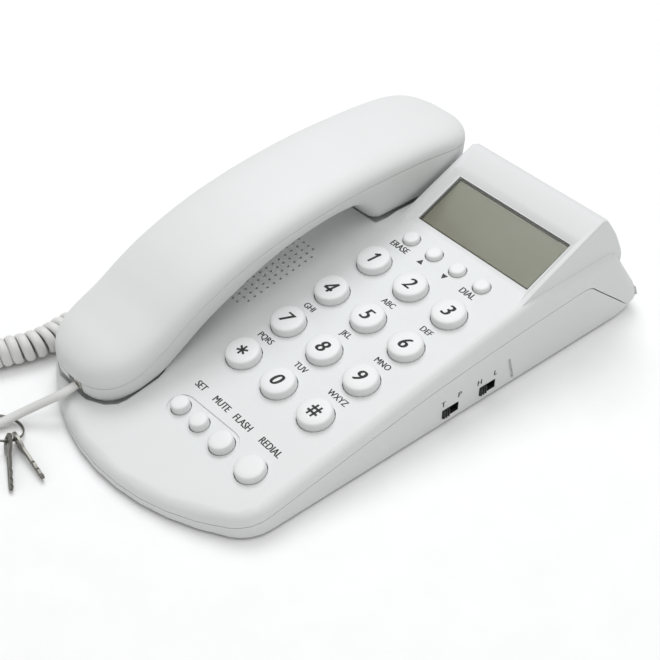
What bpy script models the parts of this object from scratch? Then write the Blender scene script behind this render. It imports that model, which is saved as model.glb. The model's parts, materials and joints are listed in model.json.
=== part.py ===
"""Corded desk telephone with a caller-display pod, a curly handset cord and two lock keys.

The model is in metres in Blender, but every size below is in millimetres: the mesh builders scale by MM.
+X is the user's right, +Y points away from the user, +Z is up. The origin is on the table, under the
middle of the base.
"""

import math

import bmesh
import bpy
from mathutils import Matrix, Vector
from mathutils.geometry import interpolate_bezier

for leftover in list(bpy.data.objects):
    bpy.data.objects.remove(leftover)

MM = 0.001

# ---------------------------------------------------------------- driving dimensions (mm)
BASE_WIDTH = 129.4
BASE_LENGTH = 230.6
FRONT_RADIUS = 99.3  # of the bowed front edge, from above
FRONT_CORNER_X = 58.0  # where the bow turns into the rounded corner
REAR_CORNER = 4.0
FOOT_HEIGHT = 1.5
WALL = 2.2
GAP = 0.3  # between solids that touch on the real telephone

DECK_TILT = math.radians(10.24)
DECK_Z_MID = 28.43  # the deck's height at Y = 0
DECK_END_Y = 46.5
SHOULDER_Z = 37.4
REAR_TOP_Y = 95.6
REAR_TAIL = (115.0, 9.4)  # the rearmost point of the side profile: Y, Z
EDGE_ROUND = 3.8

POD_LEFT, POD_RIGHT = -11.0, 62.4
POD_TILT = math.radians(24.5)
POD_FOOT_Y = 40.3
POD_TOP_Y = 85.5
RECESS_LEFT, RECESS_RIGHT = -5.7, 58.2  # the floor of the recess round the window
RECESS_FRONT_Y, RECESS_REAR_Y = 48.85, 73.2
RECESS_DEPTH = 1.9
RECESS_SLOPE = 2.2  # how wide the slanted sides of the recess are
WINDOW_LEFT, WINDOW_RIGHT, WINDOW_HEIGHT = -4.1, 57.45, 25.0

KEY_PITCH_X, KEY_PITCH = 21.85, 22.64
KEYPAD_X, KEYPAD_Y = 23.3, -46.7  # the middle column, and the row of the zero
KEY_RADIUS, KEY_HEIGHT = 7.1, 3.45
MENU_X, MENU_Y, MENU_PITCH, MENU_RADIUS, MENU_HEIGHT = 2.9, 39.2, 13.5, 3.55, 1.9
FUNCTION_Y = -78.5
FUNCTION_KEYS = (  # name, X, radius, height
    ("adjust_button", 3.7, 3.8, 2.7),
    ("mute_button", 15.6, 3.8, 2.7),
    ("flash_button", 29.6, 4.9, 2.9),
    ("redial_button", 47.1, 6.0, 2.9),
)

GRILLE_RIGHT_X, GRILLE_Y = -20.7, -11.1  # the loudspeaker's holes: the outer row, and the middle along it
GRILLE_PITCH_X, GRILLE_PITCH = 3.12, 3.34
GRILLE_ROWS, GRILLE_COLUMNS = 8, 13
SPEAKER_X = GRILLE_RIGHT_X - GRILLE_PITCH_X * (GRILLE_ROWS - 1) / 2

JACK_Y, JACK_Z = -36.0, 8.4  # the handset cord's jack in the base's left side
LINE_JACK_X, LINE_JACK_Z = 20.0, 19.0
SWITCH_X = BASE_WIDTH / 2
SWITCH_SLOTS = (("dial_mode_switch", -0.3), ("ringer_switch", 19.7))
SWITCH_LENGTH, SWITCH_LOW, SWITCH_HIGH = 8.8, 3.8, 8.3
KNOB_LENGTH = 3.4
DOOR_LOW, DOOR_HIGH = (-14.0, 58.0), (39.0, 86.0)
SCREWS = ((-55.0, -58.0), (55.0, -58.0), (-55.0, 82.0), (55.0, 82.0))
FEET = ((-46.0, -84.0), (46.0, -84.0), (-46.0, 90.0), (46.0, 90.0))
PLUNGER_Y = 62.0
PLUNGER_HALF = (4.0, 6.0)

HANDSET_X = -36.15
HANDSET_HALF_WIDTH = 23.85
HANDSET_FRONT_Y, HANDSET_REAR_Y = -103.0, 94.5
HANDSET_WALL = 2.0
HANDSET_TOP_RISE = 7.6  # from the seam up to the crown, over the ear end
MOUTH_RISE = 3.0  # how much more the crown rises over the mouth end
EAR_FLOOR_Z = 33.6
MOUTH_SINK = 3.0  # how far the mouth cup sits below the deck
MOUTH_WELL = (-102.2, -65.5)  # the wells in the base that the two cups rest in: front and rear Y
EAR_WELL = (36.0, 90.0)
WELL_CLEAR = 0.7  # between a cup and the floor of its well
PLUG_X, PLUG_Z = -32.2, 14.6  # the handset cord leaves the tip a little to the right of its middle
RECEIVER_Y, MICROPHONE_Y = 64.0, -79.5

CORD_RADIUS = 1.9
COIL_RADIUS = 6.2

# Side-view curves as (Y, Z) points, which smooth_through() rounds off.
PARTING = [(-118, 3.9), (-100, 5.6), (-60, 12.2), (-12, 19.8), (14, 22.6), (42, 24.9), (76, 27.0)]
SEAM = [(-107, 17.2), (-97, 18.2), (-86, 21.8), (-74, 27.6), (-63, 34.6), (-50, 41.6), (-30, 49.2),
        (-9, 53.8), (13, 56.5), (32, 57.6), (58, 57.4), (76, 56.0), (90, 53.6)]
ARCH = [(-78, 10.5), (-68.5, 15.4), (-54, 24.9), (-38.7, 33.0), (-20, 41.4), (-5, 45.6), (10, 48.0),
        (22, 48.0), (28, 46.0), (33, 40.5), (37.5, 33.6)]

# The handset cord's route from the handset to the base: a straight lead, the coil and a straight tail.
LEAD = [(-32.2, -102.4, 13.9), (-32.4, -105.0, 13.1), (-33.4, -109.2, 11.8), (-37.4, -116.0, 8.2),
        (-41.0, -122.6, 5.0), (-43.8, -131.2, 2.6), (-46.5, -138.0, 2.0), (-49.5, -147.0, 3.4),
        (-51.5, -156.0, 6.0)]
COIL = [(-52.0, -160.0, 6.4), (-53.0, -178.0, 6.4), (-55.0, -205.0, 6.4), (-62.0, -228.0, 6.4),
        (-80.0, -238.0, 6.4), (-98.0, -228.0, 6.4), (-104.0, -205.0, 6.4), (-97.0, -172.0, 6.4),
        (-85.0, -140.0, 6.4), (-75.6, -112.6, 6.4), (-71.8, -102.0, 6.4), (-70.7, -93.5, 6.4),
        (-71.6, -83.0, 6.4), (-72.1, -72.0, 6.4), (-72.1, -60.0, 6.4)]
TAIL = [(-71.9, -56.0, 6.4), (-72.4, -48.0, 7.4), (-73.4, -41.0, 8.2), (-73.2, -37.2, 8.4),
        (-70.2, -36.0, 8.4)]

RING_CENTRE, RING_RADIUS, RING_WIRE = Vector((-39.3, -132.6, 4.3)), 8.5, 0.6
RING_TILT = math.radians(22)
RING_SIDE = Vector((1.0, 0.0, 0.0))  # two directions across the ring: level, and up its slope
RING_RISE = Vector((0.0, -math.cos(RING_TILT), math.sin(RING_TILT)))
KEY_SPACING = 1.9  # of each lock key from the point between them, along the ring's wire


# ---------------------------------------------------------------- small geometry helpers
def deck_z(y):
    return DECK_Z_MID + math.tan(DECK_TILT) * y


def pod_z(y):
    return deck_z(POD_FOOT_Y) + math.tan(POD_TILT) * (y - POD_FOOT_Y)


def smooth_through(points, steps=4):
    """A smooth curve through the points: each stretch is a cubic whose ends follow its neighbours."""
    dims = len(points[0])
    pts = [Vector((*p, 0.0)[:3]) for p in points]
    curve = []
    for i in range(len(pts) - 1):
        before, a, b, after = pts[max(i - 1, 0)], pts[i], pts[i + 1], pts[min(i + 2, len(pts) - 1)]
        curve += list(interpolate_bezier(a, a + (b - before) / 6, b - (after - a) / 6, b, steps + 1))[:-1]
    return [tuple(p)[:dims] for p in [*curve, pts[-1]]]


def value_at(curve, y):
    """The curve's Z at that Y. The curve's points run in order of Y."""
    for (y0, z0), (y1, z1) in zip(curve, curve[1:]):
        if y <= y1:
            return z0 + (z1 - z0) * max(0.0, (y - y0) / (y1 - y0))
    return curve[-1][1]


def arc(centre, radius, start, end, steps):
    """Points on an arc, with its angles in degrees."""
    angles = (math.radians(start + (end - start) * i / steps) for i in range(steps + 1))
    return [(centre[0] + radius * math.cos(a), centre[1] + radius * math.sin(a)) for a in angles]


# ---------------------------------------------------------------- object builders
def add_object(name, bm, sharp=35.0):
    """Makes an object from a bmesh in millimetres and shades its round faces smooth."""
    bmesh.ops.recalc_face_normals(bm, faces=bm.faces)
    bmesh.ops.scale(bm, vec=(MM, MM, MM), verts=bm.verts)
    mesh = bpy.data.meshes.new(name)
    bm.to_mesh(mesh)
    bm.free()
    mesh.shade_smooth()
    mesh.set_sharp_from_angle(angle=math.radians(sharp))
    obj = bpy.data.objects.new(name, mesh)
    bpy.context.collection.objects.link(obj)
    return obj


def prism(name, outline, axis, low, high):
    """An outline extruded along X from (Y, Z) points, or along Z from (X, Y) points."""
    bm = bmesh.new()
    place = {"X": lambda p: (low, p[0], p[1]), "Z": lambda p: (p[0], p[1], low)}[axis]
    face = bm.faces.new([bm.verts.new(place(p)) for p in outline])
    made = bmesh.ops.extrude_face_region(bm, geom=[face])["geom"]
    moved = [v for v in made if isinstance(v, bmesh.types.BMVert)]
    step = (high - low, 0, 0) if axis == "X" else (0, 0, high - low)
    bmesh.ops.translate(bm, vec=step, verts=moved)
    return add_object(name, bm)


def block(name, low, high, bevel=0.0):
    """A box between two corners, with its edges bevelled if asked."""
    bm = bmesh.new()
    bmesh.ops.create_cube(bm, size=1.0)
    size = [high[k] - low[k] for k in range(3)]
    bmesh.ops.scale(bm, vec=size, verts=bm.verts)
    bmesh.ops.translate(bm, vec=[(low[k] + high[k]) / 2 for k in range(3)], verts=bm.verts)
    if bevel:
        bmesh.ops.bevel(bm, geom=bm.edges[:], offset=bevel, segments=1, affect="EDGES")
    return add_object(name, bm)


def turned(name, profile, sides=16):
    """A solid of revolution about Z from (radius, Z) points; a radius of 0 closes an end."""
    bm = bmesh.new()
    rings = []
    for radius, z in profile:
        if radius == 0:
            rings.append([bm.verts.new((0, 0, z))])
        else:
            turn = [2 * math.pi * i / sides for i in range(sides)]
            rings.append([bm.verts.new((radius * math.cos(a), radius * math.sin(a), z)) for a in turn])
    for lower, upper in zip(rings, rings[1:]):
        for i in range(sides):
            low = [lower[k % sides % len(lower)] for k in (i, i + 1)]
            high = [upper[k % sides % len(upper)] for k in (i + 1, i)]
            unique = list(dict.fromkeys(low + high))
            if len(unique) > 2:
                bm.faces.new(unique)
    for ring in (rings[0], rings[-1]):
        if len(ring) > 1:
            bm.faces.new(ring)
    return add_object(name, bm)


def tube(name, points, radius, resolution=2):
    """A cord as a bevelled poly curve with filled caps."""
    curve = bpy.data.curves.new(name, "CURVE")
    curve.dimensions = "3D"
    curve.bevel_depth = radius * MM
    curve.bevel_resolution = resolution
    curve.use_fill_caps = True
    spline = curve.splines.new("POLY")
    spline.points.add(len(points) - 1)
    for point, place in zip(spline.points, points):
        point.co = (*(c * MM for c in place), 1.0)
    obj = bpy.data.objects.new(name, curve)
    bpy.context.collection.objects.link(obj)
    return obj


def place_at(obj, location, tilt=0.0, about="X"):
    """Moves an object to a place in millimetres and turns it about one axis, if asked."""
    obj.location = Vector(location) * MM
    if tilt:
        obj.rotation_euler["XYZ".index(about)] = tilt
    return obj


def combine(target, other, operation):
    """Applies one Boolean to the target and removes the other object."""
    modifier = target.modifiers.new("combine", "BOOLEAN")
    modifier.operation, modifier.object, modifier.solver = operation, other, "EXACT"
    bpy.context.view_layer.update()
    graph = bpy.context.evaluated_depsgraph_get()
    result = bpy.data.meshes.new_from_object(target.evaluated_get(graph))
    target.modifiers.clear()
    target.data = result
    result.shade_smooth()
    result.set_sharp_from_angle(angle=math.radians(35))
    bpy.data.objects.remove(other)
    return target


def cut(target, *cutters):
    for cutter in cutters:
        combine(target, cutter, "DIFFERENCE")
    return target


def join(target, *others):
    for other in others:
        combine(target, other, "UNION")
    return target


def keep_inside(target, other):
    return combine(target, other, "INTERSECT")


def copy_of(obj):
    made = obj.copy()
    made.data = obj.data.copy()
    bpy.context.collection.objects.link(made)
    return made


def merged(name, objects):
    """Several separate cutters as one object, so that one Boolean cuts them all."""
    bm = bmesh.new()
    bpy.context.view_layer.update()
    for obj in objects:
        start = len(bm.verts)
        bm.from_mesh(obj.data)
        bm.verts.ensure_lookup_table()
        bmesh.ops.transform(bm, matrix=obj.matrix_world, verts=bm.verts[start:])
        bpy.data.objects.remove(obj)
    bmesh.ops.scale(bm, vec=(1 / MM,) * 3, verts=bm.verts)
    return add_object(name, bm)


def bevel_edges(obj, chosen, offset, segments):
    """Rounds the edges that chosen() picks from the two faces' lower and higher normal Z, the angle
    between them in degrees, and the edge's middle in mm."""
    bm = bmesh.new()
    bm.from_mesh(obj.data)
    bmesh.ops.dissolve_limit(bm, angle_limit=0.002, verts=bm.verts, edges=bm.edges)
    edges = []
    for e in bm.edges:
        if len(e.link_faces) == 2:
            low, high = sorted(face.normal.z for face in e.link_faces)
            angle = math.degrees(e.calc_face_angle(0.0))
            if chosen(low, high, angle, (e.verts[0].co + e.verts[1].co) / 2 / MM):
                edges.append(e)
    bmesh.ops.bevel(bm, geom=edges, offset=offset * MM, segments=segments, profile=0.5, affect="EDGES")
    bm.to_mesh(obj.data)
    bm.free()
    obj.data.shade_smooth()
    obj.data.set_sharp_from_angle(angle=math.radians(35))
    return obj


# ---------------------------------------------------------------- materials
FINISHES = {  # colour, roughness, metallic, alpha
    "white_plastic": ((0.80, 0.81, 0.81), 0.48, 0.0, 1.0),
    "key_plastic": ((0.84, 0.85, 0.85), 0.42, 0.0, 1.0),
    "black_plastic": ((0.015, 0.015, 0.016), 0.4, 0.0, 1.0),
    "clear_plastic": ((0.62, 0.62, 0.55), 0.1, 0.0, 0.45),
    "plug_plastic": ((0.72, 0.71, 0.66), 0.2, 0.0, 0.8),
    "cord_vinyl": ((0.74, 0.74, 0.71), 0.45, 0.0, 1.0),
    "lcd_glass": ((0.26, 0.26, 0.19), 0.25, 0.0, 1.0),
    "silicone": ((0.42, 0.42, 0.41), 0.7, 0.0, 1.0),
    "rubber": ((0.06, 0.06, 0.06), 0.85, 0.0, 1.0),
    "board": ((0.35, 0.27, 0.12), 0.55, 0.0, 1.0),
    "steel": ((0.50, 0.50, 0.50), 0.35, 1.0, 1.0),
    "key_nickel": ((0.20, 0.19, 0.18), 0.3, 1.0, 1.0),
    "cell_wrap": ((0.05, 0.16, 0.09), 0.35, 0.0, 1.0),
}


def finish(obj, name, kind):
    """Names an object and gives it a material of its own."""
    colour, roughness, metallic, alpha = FINISHES[kind]
    made = bpy.data.materials.new(f"{name}_{kind}")
    made.use_nodes = True
    shader = made.node_tree.nodes["Principled BSDF"]
    shader.inputs["Base Color"].default_value = (*colour, 1.0)
    shader.inputs["Roughness"].default_value = roughness
    shader.inputs["Metallic"].default_value = metallic
    shader.inputs["Alpha"].default_value = alpha
    made.diffuse_color = (*colour, alpha)
    obj.data.materials.clear()
    obj.data.materials.append(made)
    if obj.type == "MESH":
        obj.data.polygons.foreach_set("material_index", [0] * len(obj.data.polygons))
    obj.name = obj.data.name = name
    return obj


# ---------------------------------------------------------------- the base's shells
def base_outline(inset=0.0):
    """The base from above as (X, Y) points, counter-clockwise."""
    bow_y = FRONT_RADIUS - BASE_LENGTH / 2
    half_angle = math.asin(FRONT_CORNER_X / FRONT_RADIUS)
    corner = (BASE_WIDTH / 2 - FRONT_CORNER_X) / (1 - math.sin(half_angle))
    corner_x = BASE_WIDTH / 2 - corner
    corner_y = bow_y - (FRONT_RADIUS - corner) * math.cos(half_angle)
    lean = math.degrees(half_angle)
    rear = (BASE_WIDTH / 2 - REAR_CORNER, BASE_LENGTH / 2 - REAR_CORNER)
    front = arc((0, bow_y), FRONT_RADIUS - inset, 270 - lean, 270 + lean, 10)
    right = arc((corner_x, corner_y), corner - inset, lean - 90, 0, 4)[1:]
    right += arc(rear, REAR_CORNER - inset, 0, 90, 3)
    return front + right + [(-x, y) for x, y in reversed(right)]


def base_profile(inset=0.0):
    """The base from its side as (Y, Z) points: deck, shoulder, slanted rear and floor."""
    front = -BASE_LENGTH / 2 - 5
    drop = inset / math.cos(DECK_TILT)
    slant = math.atan2(SHOULDER_Z - REAR_TAIL[1], REAR_TAIL[0] - REAR_TOP_Y)
    back = inset / math.sin(slant)
    shoulder = (DECK_END_Y, deck_z(DECK_END_Y) - drop)
    top = [(front, deck_z(front) - drop), shoulder, (REAR_TOP_Y - 9, SHOULDER_Z - inset)]
    rear = [(REAR_TOP_Y - back * 0.6, SHOULDER_Z - inset), (REAR_TAIL[0] - back, REAR_TAIL[1]),
            (REAR_TAIL[0] - 1.6 - back, 6.0), (108.0 - inset, 3.4 + inset)]
    floor = [(100.0, FOOT_HEIGHT + inset), (front, FOOT_HEIGHT + inset)]
    return top + rear + floor


def recess_z(y):
    """The height of the recess floor, which the window lies in."""
    return pod_z(y) - RECESS_DEPTH / math.cos(POD_TILT)


def pod_profile(recessed=False, inset=0.0):
    """The display pod from its side as (Y, Z) points, through a side wall or through the recess."""
    drop = inset / math.cos(POD_TILT)
    height = recess_z if recessed else pod_z
    foot = POD_FOOT_Y + 2.5 * inset
    face = [(foot, (deck_z(foot) if recessed else pod_z(foot)) - 0.6 - drop),
            (RECESS_FRONT_Y - 0.8, height(RECESS_FRONT_Y - 0.8) - 0.1 * recessed - drop),
            (RECESS_REAR_Y - inset * recessed * 0.3, height(RECESS_REAR_Y) - drop),
            (RECESS_REAR_Y + 1.9, pod_z(RECESS_REAR_Y + 1.9) - drop),
            (POD_TOP_Y - inset * 0.4, pod_z(POD_TOP_Y) - drop)]
    back = [(88.6 - inset, 55.3 - inset * 1.2), (91.2 - inset, 51.9 - inset), (95.6 - inset, 45.4),
            (99.0 - inset, 38.6), (100.6 - inset, 33.5 - inset)]
    return face + back + [(100.6 - inset, 27.0), (foot, 27.0)]


def pod_solid(name):
    """The pod, lofted from wall to wall so that the sides of its recess slant."""
    stations = ((POD_LEFT, False), (RECESS_LEFT - RECESS_SLOPE, False), (RECESS_LEFT, True),
                (RECESS_RIGHT, True), (RECESS_RIGHT + RECESS_SLOPE, False), (POD_RIGHT, False))
    bm = bmesh.new()
    rings = [[bm.verts.new((x, y, z)) for y, z in pod_profile(recessed)] for x, recessed in stations]
    for a, b in zip(rings, rings[1:]):
        for i in range(len(a)):
            j = (i + 1) % len(a)
            bm.faces.new([a[i], a[j], b[j], b[i]])
    bm.faces.new(rings[0])
    bm.faces.new(rings[-1])
    return add_object(name, bm)


def below_parting(shift):
    """The space below the line where the base's two shells meet, as (Y, Z) points."""
    side = smooth_through(PARTING, 2)
    knee = arc((77.4, 17.2), 9.8, 82, 40, 4)
    tail = [(109.6, 2.6), (112.0, -2.0)]
    line = [(y, z + shift) for y, z in side] + [(y + shift, z + shift) for y, z in knee + tail]
    return line + [(-118.0, -2.0)]


def outer_base():
    body = prism("base_body", base_profile(), "X", -80, 80)
    keep_inside(body, prism("plan", base_outline(), "Z", -5, 60))
    bevel_edges(body, lambda low, high, angle, p: high > 0.5 and angle > 30 and p.z > 5.0, EDGE_ROUND, 3)
    pod = pod_solid("pod")
    outside = (POD_LEFT + 0.1, POD_RIGHT - 0.1)
    bevel_edges(pod, lambda low, high, angle, p: angle > 50 and p.z > 37 and (
        not outside[0] < p.x < outside[1] or p.y > 80), 1.1, 2)
    return join(body, pod)


def base_cavity():
    cavity = prism("cavity", base_profile(WALL), "X", -80, 80)
    keep_inside(cavity, prism("plan", base_outline(WALL), "Z", -5, 60))
    cut(cavity, block("nose", (-80, -120, 0), (80, -99, 20)))
    pod = prism("pod_cavity", pod_profile(True, WALL), "X", RECESS_LEFT - 1.5, RECESS_RIGHT + 1.5)
    return join(cavity, pod)


def on_deck(x, y):
    """A point on the deck's surface."""
    return (x, y, deck_z(y))


def key_places():
    """Each keypad key's name, X and Y, row by row from the front."""
    names = (("star", "zero", "hash"), ("seven", "eight", "nine"),
             ("four", "five", "six"), ("one", "two", "three"))
    for row, labels in enumerate(names):
        for column, label in enumerate(labels):
            y = KEYPAD_Y + row * KEY_PITCH * math.cos(DECK_TILT)
            yield f"key_{label}", KEYPAD_X + (column - 1) * KEY_PITCH_X, y


def button_places():
    """Every push button: name, X, Y, radius and height above the deck."""
    for name, x, y in key_places():
        yield name, x, y, KEY_RADIUS, KEY_HEIGHT
    for i, name in enumerate(("erase_button", "up_button", "down_button", "call_button")):
        yield name, MENU_X + i * MENU_PITCH, MENU_Y, MENU_RADIUS, MENU_HEIGHT
    for name, x, radius, height in FUNCTION_KEYS:
        yield name, x, FUNCTION_Y, radius, height


def button_cutters():
    holes = []
    for name, x, y, radius, _ in button_places():
        hole = turned(f"hole_{name}", [(radius + 0.4, -8.0), (radius + 0.4, 8.0)], 20)
        holes.append(place_at(hole, on_deck(x, y), DECK_TILT))
    return holes


def grille_cutters(radius=0.62):
    """The loudspeaker's holes: a square grid that runs along the handset, with its corners rounded off."""
    holes = []
    for row in range(GRILLE_ROWS):
        trim = 1 if row in (0, GRILLE_ROWS - 1) else 0
        for column in range(trim, GRILLE_COLUMNS - trim):
            x = GRILLE_RIGHT_X - row * GRILLE_PITCH_X
            y = GRILLE_Y + (column - (GRILLE_COLUMNS - 1) / 2) * GRILLE_PITCH * math.cos(DECK_TILT)
            hole = turned(f"grille_{row}_{column}", [(radius, -6.0), (radius, 6.0)], 6)
            holes.append(place_at(hole, on_deck(x, y), DECK_TILT))
    return holes


def function_panel_cutter():
    """The shallow recess around the three smaller function buttons: two end circles and their tangents."""
    (_, x0, r0, _), (_, x1, r1, _) = FUNCTION_KEYS[0], FUNCTION_KEYS[2]
    r0, r1 = r0 + 2.0, r1 + 2.0
    lean = math.degrees(math.asin((r1 - r0) / (x1 - x0)))
    outline = arc((0, 0), r0, 90 + lean, 270 - lean, 8) + arc((x1 - x0, 0), r1, -90 - lean, 90 + lean, 8)
    panel = prism("function_panel", outline, "Z", -0.45, 4.0)
    return place_at(panel, on_deck(x0, FUNCTION_Y), DECK_TILT)


def on_window(x, along, depth):
    """A point given along the window's plane from its front edge, and down into the pod."""
    y, tilt = RECESS_FRONT_Y + 0.4, POD_TILT
    return (x, y + along * math.cos(tilt) + depth * math.sin(tilt),
            recess_z(y) + along * math.sin(tilt) - depth * math.cos(tilt))


def window_block(name, side, depth_low, depth_high):
    """A plate in the window's plane, wider than the window by side."""
    plate = block(name, (WINDOW_LEFT - side, -side, -depth_high),
                  (WINDOW_RIGHT + side, WINDOW_HEIGHT + side, -depth_low))
    return place_at(plate, on_window(0, 0.5, 0), POD_TILT)


# ---------------------------------------------------------------- the handset
def handset_half_width(y, inset=0.0):
    """Half the handset's width at that Y: straight sides, with round ends."""
    half = HANDSET_HALF_WIDTH - inset
    front, rear = y - (HANDSET_FRONT_Y + inset), (HANDSET_REAR_Y - inset) - y
    into = max(0.0, 1 - min(front, rear) / 23.0)
    return half * (1 - min(into, 1.0) ** 2.4) ** (1 / 2.4)


def end_share(y, inset, length=11.0, power=2.2):
    """1 along the handset, falling to 0 at its two ends."""
    front, rear = y - (HANDSET_FRONT_Y + inset), (HANDSET_REAR_Y - inset) - y
    into = max(0.0, 1 - min(front, rear) / length)
    return (1 - min(into, 1.0) ** power) ** (1 / power)


def handset_floor_z(y):
    """The underside of the handset along its middle: mouth cup, arch and ear cup."""
    mouth = deck_z(y) - MOUTH_SINK
    if y < -76:
        return mouth
    if y > 37.5:
        return EAR_FLOOR_Z
    return max(mouth if y < -70 else 0.0, value_at(smooth_through(ARCH, 3), y))


def handset_section(y, inset=0.0, sides=6):
    """One cross-section as (X, Z) points, from the right side over the crown and back below."""
    half = max(0.6, handset_half_width(y, inset))
    seam_z = value_at(smooth_through(SEAM, 3), y)
    rise = HANDSET_TOP_RISE + MOUTH_RISE * min(1.0, max(0.0, (-30.0 - y) / 50.0))
    top = max(0.5, (rise - inset) * end_share(y, inset, 13.0))
    below = max(0.5, (seam_z - handset_floor_z(y) - inset) * end_share(y, inset, 12.0, 2.2))
    turns = [math.pi / 2 * i / sides for i in range(sides)]
    upper = [(math.cos(a) ** 0.55, math.sin(a) ** 0.8) for a in turns]
    lower = [(math.cos(a) ** 0.34 * (1 - 0.1 * math.sin(a) ** 0.4), math.sin(a) ** 0.4) for a in turns[1:]]
    right_up = [(half * c, seam_z + top * s) for c, s in upper] + [(0.0, seam_z + top)]
    left_up = [(-x, z) for x, z in reversed(right_up[:-1])]
    left_down = [(-half * c, seam_z - below * s) for c, s in lower] + [(0.0, seam_z - below)]
    right_down = [(-x, z) for x, z in reversed(left_down[:-1])]
    return right_up + left_up + left_down + right_down


def handset_stations(inset=0.0):
    front, rear = HANDSET_FRONT_Y + inset, HANDSET_REAR_Y - inset
    near_end = [0.05, 0.7, 2.4, 5.4, 10.0, 16.0]
    middle = [-79, -72, -64, -54, -40, -22, -4, 12, 22, 28, 33, 36.5, 39, 54, 70]
    return [front + d for d in near_end] + middle + [rear - d for d in reversed(near_end)]


def handset_body(name, inset=0.0, sides=6):
    bm = bmesh.new()
    rings = []
    for y in handset_stations(inset):
        rings.append([bm.verts.new((HANDSET_X + x, y, z)) for x, z in handset_section(y, inset, sides)])
    for a, b in zip(rings, rings[1:]):
        for i in range(len(a)):
            j = (i + 1) % len(a)
            bm.faces.new([a[i], a[j], b[j], b[i]])
    bm.faces.new(rings[0])
    bm.faces.new(rings[-1])
    return add_object(name, bm, sharp=50)


def seam_space(shift, above):
    """The space above or below the handset's seam, as (Y, Z) points."""
    line = [(y, z + shift) for y, z in smooth_through(SEAM, 3)]
    line = [(line[0][0] - 10, line[0][1]), *line, (line[-1][0] + 10, line[-1][1])]
    far = 90.0 if above else -10.0
    return line + [(line[-1][0], far), (line[0][0], far)]


def well_cutter(name, ends, floors, half_width, grow, narrowing):
    """A well for one of the handset's cups. It narrows by a share of its width towards the handset's
    arch, so that the resting handset hides that end. narrowing gives that end, -1 for the front or 1
    for the rear, the share, and how far along the well the narrowing starts."""
    narrow_end, share, start = narrowing
    bm = bmesh.new()
    rings = []
    for i in range(11):
        t = i / 10
        y = ends[0] + (ends[1] - ends[0]) * t
        into = max(0.0, (t if narrow_end > 0 else 1 - t) - start) / (1 - start)
        w = min(handset_half_width(y) + 0.4, half_width) * (1 - share * into**2) + 0.5 + grow
        z = floors[0] + (floors[1] - floors[0]) * t
        corners = ((-w, z), (w, z), (w, 75.0), (-w, 75.0))
        rings.append([bm.verts.new((HANDSET_X + x, y, h)) for x, h in corners])
    for a, b in zip(rings, rings[1:]):
        for i in range(4):
            bm.faces.new([a[i], a[(i + 1) % 4], b[(i + 1) % 4], b[i]])
    bm.faces.new(rings[0])
    bm.faces.new(rings[-1])
    return add_object(name, bm)


def mouth_well(name, grow=0.0):
    ends = (MOUTH_WELL[0] - grow, MOUTH_WELL[1] + grow)
    floors = [deck_z(y) - MOUTH_SINK - WELL_CLEAR - grow * 0.8 for y in ends]
    return well_cutter(name, ends, floors, 21.3, grow, (1, 0.4, 0.7))


def ear_well(name, grow=0.0):
    floor = EAR_FLOOR_Z - WELL_CLEAR - grow
    ends = (EAR_WELL[0] - grow, EAR_WELL[1] + grow)
    return well_cutter(name, ends, (floor, floor), 21.0, grow, (-1, 0.06, 0.9))


# ---------------------------------------------------------------- building the base
outer = outer_base()
cavity = base_cavity()

top_shell = copy_of(outer)
cut(top_shell, prism("split", below_parting(GAP / 2), "X", -90, 90))
inner = cut(copy_of(cavity), mouth_well("mouth_wall", WALL), ear_well("ear_wall", WALL))
boss_tops = (deck_z(-58.0) - 1.2, deck_z(-58.0) - 1.2, SHOULDER_Z - 1.2, pod_z(82.0) - 1.2)
bosses = merged("bosses", [
    place_at(turned("boss", [(3.6, 5.5), (3.6, z)], 12), (x, y, 0)) for (x, y), z in zip(SCREWS, boss_tops)])
cut(inner, bosses)
cut(top_shell, inner, mouth_well("mouth_hollow"), ear_well("ear_hollow"))
cut(top_shell, merged("button_holes", button_cutters()))
cut(top_shell, merged("grille_holes", grille_cutters()))
cut(top_shell, function_panel_cutter(), window_block("window_hole", GAP, -4.0, 4.5))
cut(top_shell, merged("small_openings", [
    *[place_at(turned("pilot", [(1.7, -1.0), (1.7, 12.0)], 8), (x, y, 0)) for x, y in SCREWS],
    block("plunger_hole", (HANDSET_X - PLUNGER_HALF[0] - 0.4, PLUNGER_Y - PLUNGER_HALF[1] - 0.4, 26.0),
          (HANDSET_X + PLUNGER_HALF[0] + 0.4, PLUNGER_Y + PLUNGER_HALF[1] + 0.4, 36.0)),
    block("line_jack_hole", (LINE_JACK_X - 6.8, 96.5, LINE_JACK_Z - 5.3),
          (LINE_JACK_X + 6.8, 122.0, LINE_JACK_Z + 5.3)),
]))
finish(top_shell, "base_top_shell", "white_plastic")

bottom_shell = keep_inside(outer, prism("split", below_parting(-GAP / 2), "X", -90, 90))
cut(bottom_shell, cavity)
switch_holes = [
    block(f"{name}_slot", (SWITCH_X - 5.0, y, SWITCH_LOW), (SWITCH_X + 5.0, y + SWITCH_LENGTH, SWITCH_HIGH))
    for name, y in SWITCH_SLOTS]
cut(bottom_shell, merged("side_openings", [
    *switch_holes,
    block("jack_hole", (-70.0, JACK_Y - 6.6, JACK_Z - 4.8), (-58.0, JACK_Y + 6.6, JACK_Z + 4.8)),
    place_at(block("groove", (-1.0, -0.8, -5.9), (2.0, 0.8, 5.9)), (SWITCH_X, 36.95, 8.6), math.radians(15)),
    block("door_hole", (DOOR_LOW[0] - GAP, DOOR_LOW[1] - GAP, 0.0),
          (DOOR_HIGH[0] + GAP, DOOR_HIGH[1] + GAP, 5.0)),
    *[place_at(turned("screw_hole", [(3.4, -1.0), (3.4, 2.7), (1.75, 2.7), (1.75, 9.0)], 12), (x, y, 0))
      for x, y in SCREWS],
]))
finish(bottom_shell, "base_bottom_shell", "white_plastic")

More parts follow.
